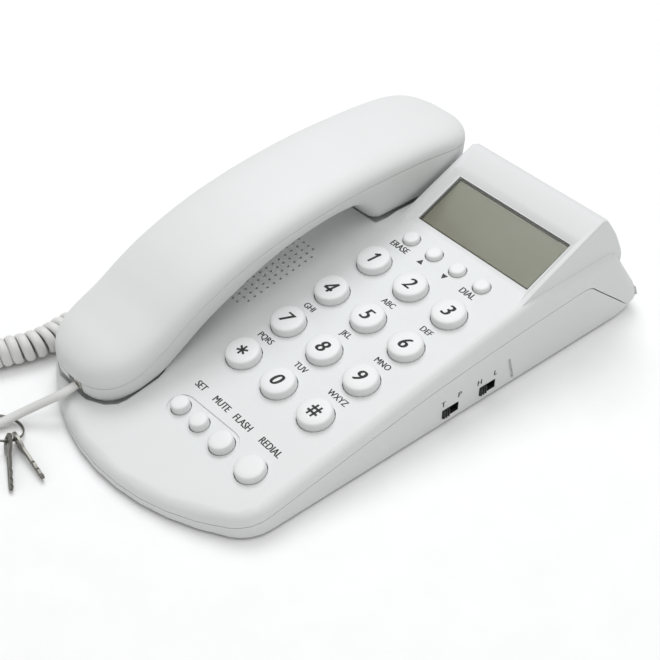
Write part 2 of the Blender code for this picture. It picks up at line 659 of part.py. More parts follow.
finish(window_block("window", 0.0, GAP, 0.9), "display_window", "clear_plastic")
finish(window_block("lcd", -0.7, 1.2, 4.2), "lcd_module", "lcd_glass")


def push_button(name, x, y, radius, height, kind):
    """A round cap that stands in the deck, with a retaining flange below it."""
    profile = [(0, -4.4), (radius + 1.0, -4.4), (radius + 1.0, -3.4), (radius, -3.4),
               (radius - 0.05, height - 0.9), (radius - 0.35, height - 0.3), (radius - 1.1, height),
               (0, height + 0.05)]
    cap = turned(name, profile, 20 if radius > 6 else 14)
    return finish(place_at(cap, on_deck(x, y), DECK_TILT), name, kind)


for button_name, button_x, button_y, button_radius, button_height in button_places():
    push_button(button_name, button_x, button_y, button_radius, button_height, "key_plastic")


def under_deck(name, x_range, y_range, depth_low, depth_high):
    """A plate parallel to the deck, between two depths below it."""
    y0, length = y_range[0], (y_range[1] - y_range[0]) / math.cos(DECK_TILT)
    plate = block(name, (x_range[0], 0.0, -depth_high), (x_range[1], length, -depth_low))
    return place_at(plate, on_deck(0.0, y0), DECK_TILT)


finish(under_deck("mat", (-7.5, 50.9), (-85.0, 44.0), 6.2, 7.4), "keypad_mat", "silicone")
finish(under_deck("board", (-8.5, 50.9), (-80.0, 46.0), 7.7, 9.3), "circuit_board", "board")

speaker_profile = [(0, -11.0), (9.0, -11.0), (9.0, -6.4), (17.0, -4.6), (17.6, -3.0), (16.0, -3.0),
                   (0, -4.2)]
speaker = turned("speaker", speaker_profile, 24)
finish(place_at(speaker, on_deck(SPEAKER_X, GRILLE_Y), DECK_TILT), "loudspeaker", "black_plastic")

plunger_top = EAR_FLOOR_Z - 0.3
plunger = block("plunger", (HANDSET_X - PLUNGER_HALF[0], PLUNGER_Y - PLUNGER_HALF[1], 24.0),
                (HANDSET_X + PLUNGER_HALF[0], PLUNGER_Y + PLUNGER_HALF[1], plunger_top), 0.8)
flange = block("flange", (HANDSET_X - 5.6, PLUNGER_Y - 7.6, 24.6), (HANDSET_X + 5.6, PLUNGER_Y + 7.6, 25.8))
finish(join(plunger, flange), "hook_plunger", "key_plastic")
hook_block = block("hook_block", (HANDSET_X - 7.0, PLUNGER_Y - 10.0, 8.0),
                   (HANDSET_X + 7.0, PLUNGER_Y + 10.0, 20.0), 0.6)
finish(hook_block, "hook_switch", "black_plastic")

for switch_name, slot_y in SWITCH_SLOTS:
    knob_low = slot_y + GAP
    knob = block("knob", (SWITCH_X - 2.8, knob_low, SWITCH_LOW + GAP),
                 (SWITCH_X + 0.9, knob_low + KNOB_LENGTH, SWITCH_HIGH - GAP), 0.3)
    finish(knob, f"{switch_name}_knob", "black_plastic")
switch_case = block("switch_case", (SWITCH_X - 9.0, -3.0, 4.0), (SWITCH_X - 3.1, 31.0, 10.0), 0.4)
finish(switch_case, "side_switch_case", "black_plastic")


def modular_jack(name, size, hollow, depth, kind="black_plastic"):
    """A socket that opens towards +Y: outer width, length and height, then the hollow's width and height."""
    width, length, height = size
    shell = block(name, (-width / 2, -length, -height / 2), (width / 2, 0.0, height / 2), 0.4)
    hole = block("hollow", (-hollow[0] / 2, -depth, -hollow[1] / 2), (hollow[0] / 2, 3.0, hollow[1] / 2))
    cut(shell, hole)
    return finish(shell, name, kind)


base_jack = modular_jack("base_cord_jack", (12.6, 15.0, 9.0), (9.0, 6.4), 12.0)
place_at(base_jack, (-64.3, JACK_Y, JACK_Z), math.radians(90), "Z")
line_jack = modular_jack("line_jack", (13.0, 12.0, 10.0), (10.4, 7.4), 10.0)
place_at(line_jack, (LINE_JACK_X, 106.0, LINE_JACK_Z))

door = block("door", (*DOOR_LOW, FOOT_HEIGHT + 0.05), (*DOOR_HIGH, FOOT_HEIGHT + 2.0), 0.3)
finish(door, "battery_door", "white_plastic")
cell_profile = [(0, 0.0), (4.9, 0.0), (5.15, 0.4), (5.15, 43.0), (4.7, 43.5), (1.9, 43.5), (1.9, 44.4),
                (0, 44.4)]
for number, cell_y in enumerate((66.0, 78.0), 1):
    cell = turned("cell", cell_profile, 16)
    finish(place_at(cell, (-9.5, cell_y, 9.6), math.radians(90), "Y"), f"battery_{number}", "cell_wrap")

for number, (foot_x, foot_y) in enumerate(FEET, 1):
    foot_profile = [(0, 0.0), (5.6, 0.0), (6.0, 0.3), (6.0, FOOT_HEIGHT - GAP), (0, FOOT_HEIGHT - GAP)]
    foot = turned("foot", foot_profile, 16)
    finish(place_at(foot, (foot_x, foot_y, 0)), f"rubber_foot_{number}", "rubber")
for number, (screw_x, screw_y) in enumerate(SCREWS, 1):
    screw_profile = [(0, 1.9), (0.9, 1.7), (2.9, 1.7), (3.0, 2.4), (1.4, 2.41), (1.4, 10.5), (0, 11.6)]
    screw = turned("screw", screw_profile, 12)
    finish(place_at(screw, (screw_x, screw_y, 0)), f"base_screw_{number}", "steel")

# ---------------------------------------------------------------- building the handset
body = handset_body("handset")
hollow = handset_body("handset_hollow", HANDSET_WALL, 4)
cut(body, hollow)
upper_shell = cut(copy_of(body), prism("seam", seam_space(GAP / 2, False), "X", -90, 20))
lower_shell = cut(body, prism("seam", seam_space(-GAP / 2, True), "X", -90, 20))


def plug_hole():
    return block("plug_hole", (PLUG_X - 4.2, -112.0, PLUG_Z - 2.8), (PLUG_X + 4.2, -96.5, PLUG_Z + 2.8))


def sound_holes():
    """The receiver's ring of holes in the ear cup and the microphone's three in the mouth cup."""
    holes = [place_at(turned("hole", [(1.1, -6.0), (1.1, 6.0)], 6), (HANDSET_X, RECEIVER_Y, EAR_FLOOR_Z))]
    for i in range(6):
        x, y = HANDSET_X + 5.5 * math.cos(i * math.pi / 3), RECEIVER_Y + 5.5 * math.sin(i * math.pi / 3)
        holes.append(place_at(turned("hole", [(1.1, -6.0), (1.1, 6.0)], 6), (x, y, EAR_FLOOR_Z)))
    for x in (-4.0, 0.0, 4.0):
        z = deck_z(MICROPHONE_Y) - MOUTH_SINK
        holes.append(place_at(turned("hole", [(0.8, -4.0), (0.8, 4.0)], 6), (HANDSET_X + x, MICROPHONE_Y, z)))
    return merged("sound_holes", holes)


finish(cut(upper_shell, plug_hole()), "handset_back_shell", "white_plastic")
finish(cut(lower_shell, plug_hole(), sound_holes()), "handset_face_shell", "white_plastic")

receiver_profile = [(0, 0.0), (15.0, 0.0), (15.6, 0.8), (15.6, 3.2), (12.0, 4.6), (12.0, 7.6), (0, 7.6)]
receiver = turned("receiver", receiver_profile, 24)
finish(place_at(receiver, (HANDSET_X, RECEIVER_Y, EAR_FLOOR_Z + 4.4)), "receiver_capsule", "black_plastic")
microphone = turned("microphone", [(0, 0.0), (4.6, 0.0), (4.8, 0.3), (4.8, 4.6), (0, 4.6)], 16)
finish(place_at(microphone, (HANDSET_X, MICROPHONE_Y, deck_z(MICROPHONE_Y) - MOUTH_SINK + 3.2), DECK_TILT),
       "microphone_capsule", "steel")
ballast = block("ballast", (HANDSET_X - 8.0, -10.0, 51.0), (HANDSET_X + 8.0, 24.0, 57.0), 0.5)
finish(ballast, "handset_weight", "steel")
handset_jack = modular_jack("handset_jack", (10.6, 5.0, 6.8), (8.4, 5.6), 4.0)
place_at(handset_jack, (PLUG_X, -96.1, PLUG_Z + 0.35), math.radians(180), "Z")

# ---------------------------------------------------------------- the cord, its plugs and the keys on it
handset_plug = block("plug", (PLUG_X - 3.8, -101.9, PLUG_Z - 2.4), (PLUG_X + 3.8, -92.6, PLUG_Z + 2.4), 0.4)
finish(handset_plug, "handset_cord_plug", "plug_plastic")
base_plug = block("plug", (-69.2, JACK_Y - 3.8, JACK_Z - 2.6), (-56.0, JACK_Y + 3.8, JACK_Z + 2.6), 0.4)
finish(base_plug, "base_cord_plug", "plug_plastic")

finish(tube("lead", smooth_through(LEAD, 3), CORD_RADIUS), "handset_cord_lead", "cord_vinyl")
finish(tube("coil", smooth_through(COIL, 3), COIL_RADIUS, 4), "handset_cord_coil", "cord_vinyl")
finish(tube("tail", smooth_through(TAIL, 3), CORD_RADIUS), "handset_cord_tail", "cord_vinyl")


def ring_solid():
    bm = bmesh.new()
    normal = RING_SIDE.cross(RING_RISE)
    loops = []
    for i in range(24):
        a = 2 * math.pi * i / 24
        outward = RING_SIDE * math.cos(a) + RING_RISE * math.sin(a)
        middle = RING_CENTRE + outward * RING_RADIUS
        around = (math.pi / 3 * k for k in range(6))
        loops.append([bm.verts.new(middle + (outward * math.cos(b) + normal * math.sin(b)) * RING_WIRE)
                      for b in around])
    for i, loop in enumerate(loops):
        following = loops[(i + 1) % 24]
        for k in range(6):
            bm.faces.new([loop[k], loop[(k + 1) % 6], following[(k + 1) % 6], following[k]])
    return add_object("ring", bm)


def key_solid(name, hole, tip, facing, thickness=1.3):
    """A flat key that hangs on the ring by the hole in its bow. It points at its tip and turns its flat
    side as far towards facing as that lets it."""
    outline = [(-2.9, -1.3), (-1.8, -2.8), (0.8, -3.25), (4.2, -3.0), (6.0, -2.0), (6.8, -1.5), (20.6, -1.5),
               (22.9, 0.2), (21.7, 1.4), (20.4, 0.8), (18.8, 1.5), (17.2, 0.8), (15.4, 1.5), (13.4, 0.9),
               (11.4, 1.5), (6.8, 1.5), (6.0, 2.0), (4.2, 3.0), (0.8, 3.25), (-1.8, 2.8), (-2.9, 1.3)]
    along = (tip - hole).normalized()
    normal = (facing - along * facing.dot(along)).normalized()
    key = prism(name, outline, "Z", -thickness / 2, thickness / 2)
    cut(key, turned("key_hole", [(1.6, -3.0), (1.6, 3.0)], 10))
    key.rotation_euler = Matrix((along, normal.cross(along), normal)).transposed().to_euler()
    return finish(place_at(key, hole), name, "key_nickel")


finish(ring_solid(), "key_ring", "key_nickel")
hang = RING_CENTRE + RING_SIDE * RING_RADIUS
key_solid("lock_key_1", hang - RING_RISE * KEY_SPACING, Vector((-7.1, -132.9, 2.0)), Vector((0, -1, 0)))
key_solid("lock_key_2", hang + RING_RISE * KEY_SPACING, Vector((-11.6, -144.5, 1.8)), RING_RISE)
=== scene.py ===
"""The looks of a corded desk telephone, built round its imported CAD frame.

Pieces are drawn in millimetres in the row frame and scaled by MM, as in the CAD source. The sizes, places
and cord route below repeat that source's. Each piece's slot and body come from the frame.
"""

import json
import math

import bmesh
import bpy
from mathutils import Matrix, Vector
from mathutils.geometry import interpolate_bezier


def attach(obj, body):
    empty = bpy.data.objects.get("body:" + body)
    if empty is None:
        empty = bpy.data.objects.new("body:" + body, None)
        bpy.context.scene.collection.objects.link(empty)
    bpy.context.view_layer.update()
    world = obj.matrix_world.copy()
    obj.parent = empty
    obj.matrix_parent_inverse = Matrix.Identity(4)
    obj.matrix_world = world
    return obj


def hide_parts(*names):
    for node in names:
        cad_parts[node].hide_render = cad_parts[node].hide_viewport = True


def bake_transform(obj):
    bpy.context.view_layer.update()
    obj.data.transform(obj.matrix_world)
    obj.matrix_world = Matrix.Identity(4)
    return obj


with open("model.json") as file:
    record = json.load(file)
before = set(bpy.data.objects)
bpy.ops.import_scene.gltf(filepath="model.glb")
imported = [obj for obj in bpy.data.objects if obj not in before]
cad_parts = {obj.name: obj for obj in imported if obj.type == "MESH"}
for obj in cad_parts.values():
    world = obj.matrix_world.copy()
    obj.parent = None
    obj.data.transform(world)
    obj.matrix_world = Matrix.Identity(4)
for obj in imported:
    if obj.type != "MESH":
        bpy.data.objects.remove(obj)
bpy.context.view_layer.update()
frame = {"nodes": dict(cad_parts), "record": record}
MM = 0.001

# ---------------------------------------------------------------- driving sizes (mm), as in the CAD source
DECK_TILT = math.radians(10.24)
DECK_Z_MID = 28.43  # the deck's height at Y = 0
KEY_PITCH_X, KEY_PITCH = 21.85, 22.64
KEYPAD_X, KEYPAD_Y = 23.3, -46.7
KEY_RADIUS, KEY_HEIGHT = 7.1, 3.45
MENU_X, MENU_Y, MENU_PITCH, MENU_RADIUS, MENU_HEIGHT = 2.9, 39.2, 13.5, 3.55, 1.9
FUNCTION_Y = -78.5
FUNCTION_KEYS = (  # name, X, radius, height
    ("adjust_button", 3.7, 3.8, 2.7),
    ("mute_button", 15.6, 3.8, 2.7),
    ("flash_button", 29.6, 4.9, 2.9),
    ("redial_button", 47.1, 6.0, 2.9),
)
LEAD = [(-32.2, -102.4, 13.9), (-32.4, -105.0, 13.1), (-33.4, -109.2, 11.8), (-37.4, -116.0, 8.2),
        (-41.0, -122.6, 5.0), (-43.8, -131.2, 2.6), (-46.5, -138.0, 2.0), (-49.5, -147.0, 3.4),
        (-51.5, -156.0, 6.0)]
COIL = [(-52.0, -160.0, 6.4), (-53.0, -178.0, 6.4), (-55.0, -205.0, 6.4), (-62.0, -228.0, 6.4),
        (-80.0, -238.0, 6.4), (-98.0, -228.0, 6.4), (-104.0, -205.0, 6.4), (-97.0, -172.0, 6.4),
        (-85.0, -140.0, 6.4), (-75.6, -112.6, 6.4), (-71.8, -102.0, 6.4), (-70.7, -93.5, 6.4),
        (-71.6, -83.0, 6.4), (-72.1, -72.0, 6.4), (-72.1, -60.0, 6.4)]
TAIL = [(-71.9, -56.0, 6.4), (-72.4, -48.0, 7.4), (-73.4, -41.0, 8.2), (-73.2, -37.2, 8.4),
        (-70.2, -36.0, 8.4)]
COIL_RADIUS = 6.2  # outside
WIRE_WIDTH, WIRE_THICKNESS = 4.2, 2.6
TURN_PITCH = 4.3
ROUTE_STEP = 0.25  # spacing of the points along the cord's route
COIL_RAMP = 3.2  # length over which the coil grows out of the straight wire

HANDSET_X = -36.15
HANDSET_HALF_WIDTH = 23.85
HANDSET_FRONT_Y, HANDSET_REAR_Y = -103.0, 94.5
HANDSET_WALL = 2.0
HANDSET_TOP_RISE = 7.6  # from the seam up to the crown, over the ear end
MOUTH_RISE = 3.0  # how much more the crown rises over the mouth end
EAR_FLOOR_Z = 33.6
MOUTH_SINK = 3.0
SEAM = [(-107, 17.2), (-97, 18.2), (-86, 21.8), (-74, 27.6), (-63, 34.6), (-50, 41.6), (-30, 49.2),
        (-9, 53.8), (13, 56.5), (32, 57.6), (58, 57.4), (76, 56.0), (90, 53.6)]
ARCH = [(-78, 10.5), (-68.5, 15.4), (-54, 24.9), (-38.7, 33.0), (-20, 41.4), (-5, 45.6), (10, 48.0),
        (22, 48.0), (28, 46.0), (33, 40.5), (37.5, 33.6)]
PLUG_X, PLUG_Z = -32.2, 14.6
RECEIVER_Y, MICROPHONE_Y = 64.0, -79.5
SEAM_GAP = 0.3
JACK = (-69.2, -36.0, 8.4)  # the outer face of the cord's plug in the base's left side
PRINT_RISE = 0.015  # how far print stands above its surface
SWITCH_X = 64.7  # the base's right side
SWITCH_SLOTS = (("dial_mode_switch_knob", -0.3), ("ringer_switch_knob", 19.7))
SWITCH_LOW, SWITCH_HIGH = 3.8, 8.3
SLOT_LENGTH, KNOB_LENGTH = 8.8, 3.4
POD_TILT, POD_FOOT_Y = math.radians(24.5), 40.3
RECESS_FRONT_Y, RECESS_DEPTH = 48.85, 1.9
WINDOW_LEFT, WINDOW_RIGHT, WINDOW_HEIGHT = -4.1, 57.45, 25.0
SCREWS = ((-55.0, -58.0), (55.0, -58.0), (-55.0, 82.0), (55.0, 82.0))
RING_CENTRE, RING_RADIUS = Vector((-39.3, -132.6, 4.3)), 8.5
RING_TILT = math.radians(22)
RING_SIDE = Vector((1.0, 0.0, 0.0))  # two directions across the ring: level, and up its slope
RING_RISE = Vector((0.0, -math.cos(RING_TILT), math.sin(RING_TILT)))
KEY_SPACING = 1.9
KEY_THICKNESS = 1.1
LOCK_KEYS = (  # name, which side of the ring's middle line, tip, flat side
    ("lock_key_1", -1, Vector((-7.1, -132.9, 2.0)), Vector((0, -1, 0))),
    ("lock_key_2", 1, Vector((-11.6, -144.5, 1.8)), RING_RISE),
)


# ---------------------------------------------------------------- camera, light and floor
def camera_at(place, forward, lens):
    camera = bpy.data.objects.new("camera", bpy.data.cameras.new("camera"))
    bpy.context.scene.collection.objects.link(camera)
    camera.data.sensor_width = 36.0
    camera.data.lens = lens
    camera.data.clip_start, camera.data.clip_end = 0.01, 20.0
    camera.location = place
    camera.rotation_euler = Vector(forward).to_track_quat("-Z", "Y").to_euler()
    bpy.context.scene.camera = camera


def area_light(name, place, target, size, power):
    light = bpy.data.objects.new(name, bpy.data.lights.new(name, "AREA"))
    bpy.context.scene.collection.objects.link(light)
    light.data.shape, light.data.size, light.data.energy = "DISK", size, power
    light.data.color = (0.96, 0.98, 1.0)
    light.location = place
    light.rotation_euler = (Vector(target) - Vector(place)).to_track_quat("-Z", "Y").to_euler()


def studio():
    world = bpy.data.worlds.new("studio")
    bpy.context.scene.world = world
    world.use_nodes = True
    backdrop = world.node_tree.nodes["Background"]
    backdrop.inputs["Color"].default_value = (1.0, 0.99, 0.97, 1.0)
    backdrop.inputs["Strength"].default_value = 0.52
    centre = (0.0, 0.0, 0.02)
    area_light("key_light", (-0.55, 0.35, 1.25), centre, 0.9, 9.0)
    area_light("top_light", (0.38, 0.0, 1.4), centre, 1.1, 6.3)
    bpy.context.scene.view_settings.view_transform = "Standard"
    floor = mesh_object("floor", quad_bmesh(3.0, 0.0))
    floor.data.materials.append(plastic("floor_paper", (0.90, 0.90, 0.90), 0.85, grain=0.5, bump=0.05))


def quad_bmesh(half, z):
    bm = bmesh.new()
    corners = ((-half, -half), (half, -half), (half, half), (-half, half))
    bm.faces.new([bm.verts.new((x / MM, y / MM, z)) for x, y in corners])
    return bm


# ---------------------------------------------------------------- materials
def plastic(name, colour, roughness, grain=0.35, bump=0.12, mottle=0.03, metallic=0.0, alpha=1.0):
    """A moulded surface: fine grain of that size in mm, faint cloudiness and uneven gloss."""
    material = bpy.data.materials.new(name)
    material.use_nodes = True
    nodes, links = material.node_tree.nodes, material.node_tree.links
    shader = nodes["Principled BSDF"]
    shader.inputs["Metallic"].default_value = metallic
    shader.inputs["Alpha"].default_value = alpha
    place = nodes.new("ShaderNodeTexCoord")

    def noise(scale, detail):
        made = nodes.new("ShaderNodeTexNoise")
        made.inputs["Scale"].default_value = scale
        made.inputs["Detail"].default_value = detail
        links.new(place.outputs["Object"], made.inputs["Vector"])
        return made.outputs["Fac"]

    tint = nodes.new("ShaderNodeMix")
    tint.data_type = "RGBA"
    tint.inputs["A"].default_value = (*[c * (1 - mottle) for c in colour], 1.0)
    tint.inputs["B"].default_value = (*[min(1.0, c * (1 + mottle)) for c in colour], 1.0)
    links.new(noise(55.0, 3.0), tint.inputs["Factor"])
    links.new(tint.outputs["Result"], shader.inputs["Base Color"])

    gloss = nodes.new("ShaderNodeMapRange")
    gloss.inputs["To Min"].default_value = max(0.02, roughness - 0.06)
    gloss.inputs["To Max"].default_value = min(1.0, roughness + 0.06)
    links.new(noise(180.0, 2.0), gloss.inputs["Value"])
    links.new(gloss.outputs["Result"], shader.inputs["Roughness"])

    relief = nodes.new("ShaderNodeBump")
    relief.inputs["Strength"].default_value = bump
    relief.inputs["Distance"].default_value = 0.0001
    links.new(noise(1.0 / (grain * MM), 2.0), relief.inputs["Height"])
    links.new(relief.outputs["Normal"], shader.inputs["Normal"])
    return material


def make_materials():
    return {
        "white_plastic": plastic("white_plastic", (0.70, 0.71, 0.71), 0.5, bump=0.2, mottle=0.012),
        "key_plastic": plastic("key_plastic", (0.74, 0.75, 0.75), 0.42, grain=0.3, bump=0.08, mottle=0.01),
        "black_plastic": plastic("black_plastic", (0.015, 0.015, 0.016), 0.4, mottle=0.2),
        "clear_plastic": plastic("clear_plastic", (0.55, 0.55, 0.48), 0.08, bump=0.02, alpha=0.09),
        "plug_plastic": plastic("plug_plastic", (0.72, 0.71, 0.66), 0.2, alpha=0.85),
        "cord_vinyl": plastic("cord_vinyl", (0.67, 0.67, 0.66), 0.42, grain=0.6, bump=0.1, mottle=0.03),
        "lcd_glass": plastic("lcd_glass", (0.127, 0.132, 0.078), 0.3, grain=0.8, bump=0.02, mottle=0.03),
        "silicone": plastic("silicone", (0.42, 0.42, 0.41), 0.7),
        "rubber": plastic("rubber", (0.06, 0.06, 0.06), 0.85, grain=0.5, bump=0.4, mottle=0.15),
        "board": plastic("board", (0.35, 0.27, 0.12), 0.55, mottle=0.1),
        "steel": plastic("steel", (0.50, 0.50, 0.50), 0.35, metallic=1.0, mottle=0.06),
        "key_nickel": plastic("key_nickel", (0.22, 0.215, 0.195), 0.38, metallic=1.0, mottle=0.3),
        "cell_wrap": plastic("cell_wrap", (0.05, 0.16, 0.09), 0.35),
        "print_ink": plastic("print_ink", (0.02, 0.02, 0.02), 0.6, mottle=0.2),
    }


# ---------------------------------------------------------------- geometry helpers
def mesh_object(name, bm, sharp=35.0):
    """An object from a bmesh in millimetres, with its round faces shaded smooth."""
    bmesh.ops.scale(bm, vec=(MM, MM, MM), verts=bm.verts)
    mesh = bpy.data.meshes.new(name)
    bm.to_mesh(mesh)
    bm.free()
    mesh.shade_smooth()
    mesh.set_sharp_from_angle(angle=math.radians(sharp))
    obj = bpy.data.objects.new(name, mesh)
    bpy.context.scene.collection.objects.link(obj)
    return obj


def smooth_through(points, steps=4):
    """A smooth curve through the points: each stretch is a cubic whose ends follow its neighbours."""
    pts = [Vector(p) for p in points]
    curve = []
    for i in range(len(pts) - 1):
        before, a, b, after = pts[max(i - 1, 0)], pts[i], pts[i + 1], pts[min(i + 2, len(pts) - 1)]
        curve += list(interpolate_bezier(a, a + (b - before) / 6, b - (after - a) / 6, b, steps + 1))[:-1]
    return [*curve, pts[-1]]


def deck_z(y):
    return DECK_Z_MID + math.tan(DECK_TILT) * y


def on_deck(x, y, above=0.0):
    """The frame of a thing that stands on the deck there: its Z is the deck's outward normal."""
    return Matrix.Translation((x, y, deck_z(y))) @ Matrix.Rotation(DECK_TILT, 4, "X") @ Matrix.Translation(
        (0, 0, above))


def value_at(curve, y):
    """The curve's Z at that Y. The curve's points run in order of Y."""
    for a, b in zip(curve, curve[1:]):
        if y <= b[0]:
            return a[1] + (b[1] - a[1]) * max(0.0, (y - a[0]) / (b[0] - a[0]))
    return curve[-1][1]


def turned_bmesh(profile, sides, place):
    """A solid of revolution about the place's Z from (radius, Z) points; a radius of 0 closes an end."""
    bm = bmesh.new()
    rings = []
    for radius, z in profile:
        around = 1 if radius == 0 else sides
        turns = [2 * math.pi * i / sides for i in range(around)]
        around_z = [Vector((radius * math.cos(a), radius * math.sin(a), z)) for a in turns]
        rings.append([bm.verts.new(place @ point) for point in around_z])
    for lower, upper in zip(rings, rings[1:]):
        for i in range(sides):
            j = (i + 1) % sides
            corners = [lower[i % len(lower)], lower[j % len(lower)],
                       upper[j % len(upper)], upper[i % len(upper)]]
            corners = list(dict.fromkeys(corners))
            if len(corners) > 2:
                bm.faces.new(corners)
    for ring in (rings[0], rings[-1]):
        if len(ring) > 1:
            bm.faces.new(ring)
    bmesh.ops.recalc_face_normals(bm, faces=bm.faces)
    return bm


def fillet(centre, radius, start, end, steps=5):
    """Points of a rounded corner in a profile, with its angles in degrees."""
    angles = [math.radians(start + (end - start) * i / steps) for i in range(steps + 1)]
    return [(centre[0] + radius * math.cos(a), centre[1] + radius * math.sin(a)) for a in angles]


def applied(obj):
    """The object with its modifiers made part of its mesh."""
    bpy.context.view_layer.update()
    result = bpy.data.meshes.new_from_object(obj.evaluated_get(bpy.context.evaluated_depsgraph_get()))
    obj.modifiers.clear()
    obj.data = result
    return obj


def cut(obj, cutter):
    modifier = obj.modifiers.new("cut", "BOOLEAN")
    modifier.operation, modifier.object, modifier.solver = "DIFFERENCE", cutter, "EXACT"
    applied(obj)
    bpy.data.objects.remove(cutter)
    return obj


def add_block(bm, low, high, place=Matrix.Identity(4)):
    """Adds a box between two corners to a bmesh."""
    made = bmesh.ops.create_cube(bm, size=1.0)["verts"]
    size = [high[k] - low[k] for k in range(3)]
    middle = [(low[k] + high[k]) / 2 for k in range(3)]
    fit = place @ Matrix.Translation(middle) @ Matrix.Diagonal((*size, 1.0))
    bmesh.ops.transform(bm, matrix=fit, verts=made)


def add_part(bm, part):
    """Adds a whole bmesh to another and frees it."""
    held = bpy.data.meshes.new("held")
    part.to_mesh(held)
    part.free()
    bm.from_mesh(held)
    bpy.data.meshes.remove(held)


def moved_up(bm, faces, lift):
    """Extrudes faces by a vector, so that a flat outline becomes a plate."""
    made = bmesh.ops.extrude_face_region(bm, geom=faces)["geom"]
    bmesh.ops.translate(bm, vec=lift, verts=[v for v in made if isinstance(v, bmesh.types.BMVert)])
    bmesh.ops.recalc_face_normals(bm, faces=bm.faces)


def bevelled(obj, width, angle):
    """Adds a bevel of that width in mm on every edge sharper than the angle in degrees."""
    edge = obj.modifiers.new("edge", "BEVEL")
    edge.width, edge.segments, edge.limit_method = width * MM, 2, "ANGLE"
    edge.angle_limit = math.radians(angle)
    return applied(obj)


def dressed(piece, node, slot_name, body, materials):
    """Gives a piece its slot's material and its body and, if it stands in for a CAD node, hides that node."""
    piece.data.materials.clear()
    piece.data.materials.append(materials[slot_name])
    if node:
        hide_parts(node)
    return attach(piece, body)


def ease(t):
    t = min(1.0, max(0.0, t))
    return t * t * (3 - 2 * t)


# ---------------------------------------------------------------- the handset cord
def even_route(points, step):
    """The smooth route again, with its points a step apart, and each point's distance along it."""
    fine = smooth_through(points, 24)
    along = [0.0]
    for a, b in zip(fine, fine[1:]):
        along.append(along[-1] + (b - a).length)
    count = round(along[-1] / step)
    places, at = [], 0
    for k in range(count + 1):
        s = along[-1] * k / count
        while at < len(fine) - 2 and along[at + 1] < s:
            at += 1
        share = (s - along[at]) / (along[at + 1] - along[at])
        places.append(fine[at].lerp(fine[at + 1], share))
    return places, along[-1] / count


def carried_frames(places):
    """At each point the direction of travel, and a side direction that turns no more than the route does."""
    headings = [(places[min(i + 1, len(places) - 1)] - places[max(i - 1, 0)]).normalized()
                for i in range(len(places))]
    side = Vector((0, 0, 1))
    frames = []
    for heading in headings:
        side = (side - heading * side.dot(heading)).normalized()
        frames.append((heading, side, heading.cross(side)))
    return frames


def cord_line():
    """The wire's centreline in mm, and at each point its outward direction, for one wire that runs straight
    from the handset, winds into the coil and runs straight into the base."""
    places, step = even_route(LEAD + COIL + TAIL, ROUTE_STEP)
    frames = carried_frames(places)
    first = min(range(len(places)), key=lambda i: (places[i] - Vector(COIL[0])).length)
    last = min(range(len(places)), key=lambda i: (places[i] - Vector(COIL[-1])).length)
    winding = COIL_RADIUS - WIRE_THICKNESS / 2
    ramp = COIL_RAMP / step
    rate = []
    for i in range(len(places)):
        a, b = frames[max(i - 12, 0)][0], frames[min(i + 12, len(places) - 1)][0]
        bend = a.angle(b, 0.0) / (24 * step)
        rate.append(step / (TURN_PITCH / (1 - COIL_RADIUS * bend * 0.25)) if first <= i <= last else 0.0)
    turns = sum(rate)
    stretch = round(turns) / turns
    angle, centre, outward = 0.0, [], []
    for i, (_, side, across) in enumerate(frames):
        angle += rate[i] * stretch * 2 * math.pi
        out = side * math.cos(angle) + across * math.sin(angle)
        radius = winding * ease((i - first) / ramp) * ease((last - i) / ramp)
        centre.append(places[i] + out * radius)
        outward.append(out)
    return centre, outward


def cord_piece(materials):
    centre, outward = cord_line()
    bm = bmesh.new()
    sides = 10
    rings, path, skip = [], [], 0.0
    for i, point in enumerate(centre):
        if i and i < len(centre) - 1:
            skip += (point - centre[i - 1]).length
            if skip < 1.3:
                continue
        skip = 0.0
        tangent = (centre[min(i + 1, len(centre) - 1)] - centre[max(i - 1, 0)]).normalized()
        out = (outward[i] - tangent * outward[i].dot(tangent)).normalized()
        wide = tangent.cross(out)
        ring = []
        for k in range(sides):
            a = 2 * math.pi * k / sides
            ring.append(bm.verts.new(point + wide * (WIRE_WIDTH / 2 * math.cos(a))
                                     + out * (WIRE_THICKNESS / 2 * math.sin(a))))
        rings.append(ring)
        path.append(point * MM)
    for a, b in zip(rings, rings[1:]):
        for k in range(sides):
            bm.faces.new([a[k], a[(k + 1) % sides], b[(k + 1) % sides], b[k]])
    bm.faces.new(reversed(rings[0]))
    bm.faces.new(rings[-1])
    bmesh.ops.recalc_face_normals(bm, faces=bm.faces)
    cord = mesh_object("handset_cord", bm, 60)
    cord.data.materials.append(materials["cord_vinyl"])
    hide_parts("handset_cord_lead", "handset_cord_coil", "handset_cord_tail")
    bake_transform(cord)


# ---------------------------------------------------------------- the handset's shells
def handset_half_width(y):
    front, rear = y - HANDSET_FRONT_Y, HANDSET_REAR_Y - y
    into = max(0.0, 1 - min(front, rear) / 23.0)
    return HANDSET_HALF_WIDTH * (1 - min(into, 1.0) ** 2.4) ** (1 / 2.4)


def end_share(y, length):
    """1 along the handset, falling to 0 at its two ends."""
    into = max(0.0, 1 - min(y - HANDSET_FRONT_Y, HANDSET_REAR_Y - y) / length)
    return (1 - min(into, 1.0) ** 2.2) ** (1 / 2.2)


def handset_floor_z(y, arch):
    """The underside of the handset along its middle: mouth cup, arch and ear cup."""
    mouth = deck_z(y) - MOUTH_SINK
    if y < -76:
        return mouth
    if y > 37.5:
        return EAR_FLOOR_Z
    return max(mouth if y < -70 else 0.0, value_at(arch, y))


